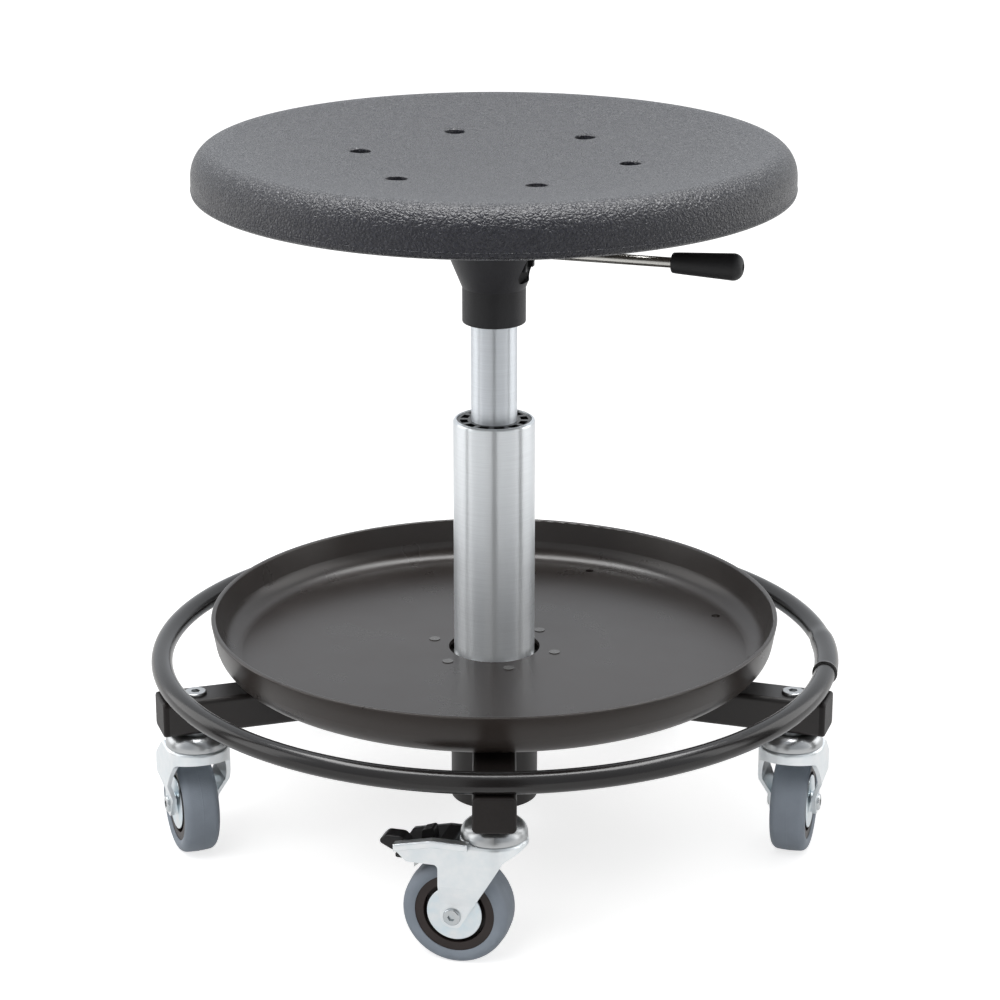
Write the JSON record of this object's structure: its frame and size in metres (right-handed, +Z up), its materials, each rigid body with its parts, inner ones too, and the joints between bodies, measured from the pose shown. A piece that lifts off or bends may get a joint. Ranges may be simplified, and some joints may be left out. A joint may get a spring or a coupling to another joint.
{
  "type": "height-adjustable workshop stool",
  "caption": "Low round swivel stool on a braked caster base with a gas-lift column, release lever, foot ring and dished tool tray.",
  "frame": {"origin": "on the floor, on the column's axis", "axes": "+Z up along the column, -Y towards the front arm with the braked caster, +X to its right"},
  "size_m": [0.4259, 0.425, 0.4364],
  "materials": {
    "seat_skin": "moulded polyurethane skin with a fine leather grain",
    "seat_board": "dark stained plywood",
    "hub_plastic": "satin black coated casting",
    "sleeve_plastic": "black moulded sleeve",
    "black_plastic": "black moulded plastic",
    "tray_plastic": "satin brown-black moulded plastic",
    "black_paint": "semi-matt black powder coat",
    "column_chrome": "polished chrome",
    "cylinder_steel": "satin ground steel",
    "zinc": "bright zinc plating",
    "lever_steel": "bright plated steel rod",
    "inner_steel": "plain steel",
    "buffer_rubber": "black rubber",
    "grey_tyre": "blue-grey soft rubber",
    "wheel_plastic": "dark brown-black moulded wheel centre"
  },
  "bodies": {
    "base": {"hub_tube": "black_paint", "arm_front": "black_paint", "arm_right": "black_paint", "arm_rear_right": "black_paint", "arm_rear_left": "black_paint", "arm_left": "black_paint", "arm_end_caps": "black_plastic", "foot_ring": "black_paint", "tool_tray": "tray_plastic", "column_tube": "column_chrome", "guide_bush": "black_plastic", "caster_bolts": "zinc", "caster_nuts": "zinc", "swivel_cups": "zinc", "bearing_lower_race": "inner_steel", "bearing_balls": "inner_steel"},
    "spindle": {"piston_rod": "cylinder_steel", "piston": "inner_steel", "bearing_upper_race": "inner_steel", "rubber_buffer": "buffer_rubber", "retaining_clip": "inner_steel"},
    "seat": {"gas_cylinder": "cylinder_steel", "rod_guide": "black_plastic", "valve_body": "inner_steel", "hub_cone": "hub_plastic", "hub_sleeve": "sleeve_plastic", "lever_pivot_pin": "lever_steel", "seat_board": "seat_board", "seat_pad": "seat_skin", "seat_screws": "zinc"},
    "lever": {"lever_rod": "lever_steel", "lever_grip": "black_plastic"},
    "release": {"release_pin": "lever_steel"},
    "caster_front": {"fork_front": "zinc", "axle_front": "zinc", "thread_guards_front": "zinc"},
    "wheel_front": {"wheel_core_front": "wheel_plastic", "tyre_front": "grey_tyre"},
    "caster_right": {"fork_right": "zinc", "axle_right": "zinc", "thread_guards_right": "zinc"},
    "wheel_right": {"wheel_core_right": "wheel_plastic", "tyre_right": "grey_tyre"},
    "caster_rear_right": {"fork_rear_right": "zinc", "axle_rear_right": "zinc", "thread_guards_rear_right": "zinc"},
    "wheel_rear_right": {"wheel_core_rear_right": "wheel_plastic", "tyre_rear_right": "grey_tyre"},
    "caster_rear_left": {"fork_rear_left": "zinc", "axle_rear_left": "zinc", "thread_guards_rear_left": "zinc"},
    "wheel_rear_left": {"wheel_core_rear_left": "wheel_plastic", "tyre_rear_left": "grey_tyre"},
    "caster_left": {"fork_left": "zinc", "axle_left": "zinc", "thread_guards_left": "zinc"},
    "wheel_left": {"wheel_core_left": "wheel_plastic", "tyre_left": "grey_tyre"},
    "brake": {"brake_pedal": "black_plastic", "brake_shoe": "inner_steel"}
  },
  "joints": [
    {"name": "seat_swivel", "type": "hinge", "parent": "base", "child": "spindle", "pos_m": [0, 0, 0.027], "axis": [0, 0, 1], "continuous": true},
    {"name": "seat_lift", "type": "slide", "parent": "spindle", "child": "seat", "axis": [0, 0, 1], "range_m": [-0.055, 0.065]},
    {"name": "lever_lift", "type": "hinge", "parent": "seat", "child": "lever", "pos_m": [0.01721, -0.00526, 0.3716], "axis": [-0.2924, -0.9563, 0], "range_deg": [0, 7], "stiffness_Nm_per_rad": 0.6},
    {"name": "release_press", "type": "slide", "parent": "seat", "child": "release", "axis": [0, 0, -1], "range_m": [0, 0.0026]},
    {"name": "caster_front_swivel", "type": "hinge", "parent": "base", "child": "caster_front", "pos_m": [0, -0.19, 0.077], "axis": [0, 0, 1], "continuous": true},
    {"name": "wheel_front_spin", "type": "hinge", "parent": "caster_front", "child": "wheel_front", "pos_m": [-0.02024, -0.18439, 0.0315], "axis": [-0.2672, -0.9636, 0], "continuous": true},
    {"name": "caster_right_swivel", "type": "hinge", "parent": "base", "child": "caster_right", "pos_m": [0.1807, -0.05871, 0.077], "axis": [0, 0, 1], "continuous": true},
    {"name": "wheel_right_spin", "type": "hinge", "parent": "caster_right", "child": "wheel_right", "pos_m": [0.18614, -0.03843, 0.0315], "axis": [-0.9659, 0.2588, 0], "continuous": true},
    {"name": "caster_rear_right_swivel", "type": "hinge", "parent": "base", "child": "caster_rear_right", "pos_m": [0.11168, 0.15371, 0.077], "axis": [0, 0, 1], "continuous": true},
    {"name": "wheel_rear_right_spin", "type": "hinge", "parent": "caster_rear_right", "child": "wheel_rear_right", "pos_m": [0.11817, 0.17369, 0.0315], "axis": [-0.9511, 0.309, 0], "continuous": true},
    {"name": "caster_rear_left_swivel", "type": "hinge", "parent": "base", "child": "caster_rear_left", "pos_m": [-0.11168, 0.15371, 0.077], "axis": [0, 0, 1], "continuous": true},
    {"name": "wheel_rear_left_spin", "type": "hinge", "parent": "caster_rear_left", "child": "wheel_rear_left", "pos_m": [-0.11676, 0.17409, 0.0315], "axis": [-0.9703, -0.2419, 0], "continuous": true},
    {"name": "caster_left_swivel", "type": "hinge", "parent": "base", "child": "caster_left", "pos_m": [-0.1807, -0.05871, 0.077], "axis": [0, 0, 1], "continuous": true},
    {"name": "wheel_left_spin", "type": "hinge", "parent": "caster_left", "child": "wheel_left", "pos_m": [-0.18788, -0.03898, 0.0315], "axis": [-0.9397, -0.342, 0], "continuous": true},
    {"name": "brake_press", "type": "hinge", "parent": "caster_front", "child": "brake", "pos_m": [-0.02939, -0.18185, 0.0695], "axis": [-0.2672, -0.9636, 0], "range_deg": [0, 7]}
  ],
  "couplings": [
    {"joint": "release_press", "follows": "lever_lift", "m_per_rad": 0.021}
  ]
}
